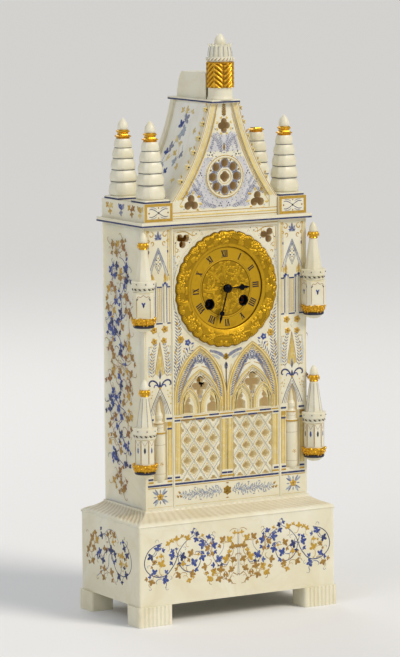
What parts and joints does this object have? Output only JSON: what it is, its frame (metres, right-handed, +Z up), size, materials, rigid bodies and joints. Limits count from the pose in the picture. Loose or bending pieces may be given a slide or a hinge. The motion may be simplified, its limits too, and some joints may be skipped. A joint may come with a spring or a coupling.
{
  "type": "cathedral clock",
  "caption": "Table clock in a carved alabaster case shaped as a gothic church front, with pierced tracery, gable roof, pinnacles, gilt dial and a round spring-driven movement.",
  "frame": {"origin": "on the floor, under the middle of the clock's overall box", "axes": "+X to the clock's left hand side seen from behind, that is to the right seen from the front; +Y from the dial to the back; +Z up"},
  "size_m": [0.224, 0.12, 0.5639],
  "materials": {
    "alabaster": "satin polished",
    "gilded_alabaster": "burnished gold paint",
    "gilt_brass": "gilt, embossed",
    "brass": "satin",
    "blued_steel": "blued"
  },
  "bodies": {
    "case": {"foot_front_left": "alabaster", "foot_front_right": "alabaster", "foot_rear_left": "alabaster", "foot_rear_right": "alabaster", "base_block": "alabaster", "base_moulding": "alabaster", "front_panel": "alabaster", "side_panel_left": "alabaster", "side_panel_right": "alabaster", "back_panel": "alabaster", "cornice": "alabaster", "parapet_left": "alabaster", "parapet_right": "alabaster", "gable_front": "alabaster", "gable_rear": "alabaster", "roof_left": "alabaster", "roof_right": "alabaster", "cap_slab": "alabaster", "ridge_block": "alabaster", "finial_column": "gilded_alabaster", "finial_crown": "alabaster", "pinnacle_front_left": "alabaster", "pinnacle_front_right": "alabaster", "pinnacle_rear_left": "alabaster", "pinnacle_rear_right": "alabaster", "pinnacle_buds": "gilded_alabaster", "turret_upper_left": "alabaster", "turret_upper_right": "alabaster", "turret_lower_left": "alabaster", "turret_lower_right": "alabaster", "bezel": "gilt_brass", "dial_plate": "gilt_brass", "plate_front": "brass", "plate_rear": "brass", "plate_pillars": "brass", "pendulum_cock": "brass", "bell": "brass", "bell_stand": "blued_steel", "straps": "brass", "strap_screws": "blued_steel", "rear_ring": "brass"},
    "minute": {"minute_hand": "blued_steel", "hand_collet": "blued_steel", "cannon_pinion": "blued_steel", "centre_wheel": "brass"},
    "hour": {"hour_hand": "blued_steel", "hour_wheel": "brass"},
    "motion": {"minute_wheel": "brass"},
    "second": {"second_wheel": "brass"},
    "third": {"third_wheel": "brass"},
    "escape": {"escape_wheel": "brass"},
    "going_barrel": {"going_barrel": "brass"},
    "strike_barrel": {"strike_barrel": "brass"},
    "going_arbor": {"winding_arbor_going": "blued_steel"},
    "strike_arbor": {"winding_arbor_strike": "blued_steel"},
    "pallets": {"pallets": "blued_steel"},
    "pendulum": {"pendulum_rod": "blued_steel", "pendulum_bob": "brass"},
    "hammer": {"hammer": "blued_steel"},
    "door": {"rear_door": "brass"}
  },
  "joints": [
    {"name": "minute_turn", "type": "hinge", "parent": "case", "child": "minute", "pos_m": [0, 0, 0.3186], "axis": [0, 1, 0], "continuous": true},
    {"name": "hour_turn", "type": "hinge", "parent": "case", "child": "hour", "pos_m": [0, 0, 0.3186], "axis": [0, 1, 0], "continuous": true},
    {"name": "motion_turn", "type": "hinge", "parent": "case", "child": "motion", "pos_m": [-0.00052, 0, 0.33059], "axis": [0, 1, 0], "continuous": true},
    {"name": "second_turn", "type": "hinge", "parent": "case", "child": "second", "pos_m": [0.01462, 0, 0.32245], "axis": [0, 1, 0], "continuous": true},
    {"name": "going_barrel_turn", "type": "hinge", "parent": "case", "child": "going_barrel", "pos_m": [0.01949, 0, 0.30554], "axis": [0, 1, 0], "continuous": true},
    {"name": "third_turn", "type": "hinge", "parent": "case", "child": "third", "pos_m": [-0.00749, 0, 0.32976], "axis": [0, 1, 0], "continuous": true},
    {"name": "escape_turn", "type": "hinge", "parent": "case", "child": "escape", "pos_m": [-0.00089, 0, 0.33902], "axis": [0, 1, 0], "continuous": true},
    {"name": "strike_barrel_turn", "type": "hinge", "parent": "case", "child": "strike_barrel", "pos_m": [-0.01828, 0, 0.30389], "axis": [0, 1, 0], "continuous": true},
    {"name": "going_wind", "type": "hinge", "parent": "case", "child": "going_arbor", "pos_m": [0.01949, 0, 0.30554], "axis": [0, 1, 0], "continuous": true},
    {"name": "strike_wind", "type": "hinge", "parent": "case", "child": "strike_arbor", "pos_m": [-0.01828, 0, 0.30389], "axis": [0, 1, 0], "continuous": true},
    {"name": "pendulum_swing", "type": "hinge", "parent": "case", "child": "pendulum", "pos_m": [-0.00137, 0, 0.35001], "axis": [0, 1, 0], "range_deg": [-3, 3]},
    {"name": "pallets_rock", "type": "hinge", "parent": "case", "child": "pallets", "pos_m": [-0.00137, 0, 0.35001], "axis": [0, 1, 0], "range_deg": [-3.05, 3.05]},
    {"name": "hammer_swing", "type": "hinge", "parent": "case", "child": "hammer", "pos_m": [-0.03332, 0, 0.32515], "axis": [0, 1, 0], "range_deg": [-14, 0]},
    {"name": "door_hinge", "type": "hinge", "parent": "case", "child": "door", "pos_m": [0.0452, 0.0472, 0.3186], "axis": [0, 0, -1], "range_deg": [0, 110]}
  ],
  "couplings": [
    {"joint": "hour_turn", "follows": "minute_turn", "ratio": 0.083333},
    {"joint": "motion_turn", "follows": "minute_turn", "ratio": -0.33333},
    {"joint": "second_turn", "follows": "minute_turn", "ratio": -0.16667},
    {"joint": "going_barrel_turn", "follows": "minute_turn", "ratio": 0.026316},
    {"joint": "third_turn", "follows": "minute_turn", "ratio": -15},
    {"joint": "escape_turn", "follows": "minute_turn", "ratio": 180},
    {"joint": "pallets_rock", "follows": "pendulum_swing", "ratio": 1}
  ]
}
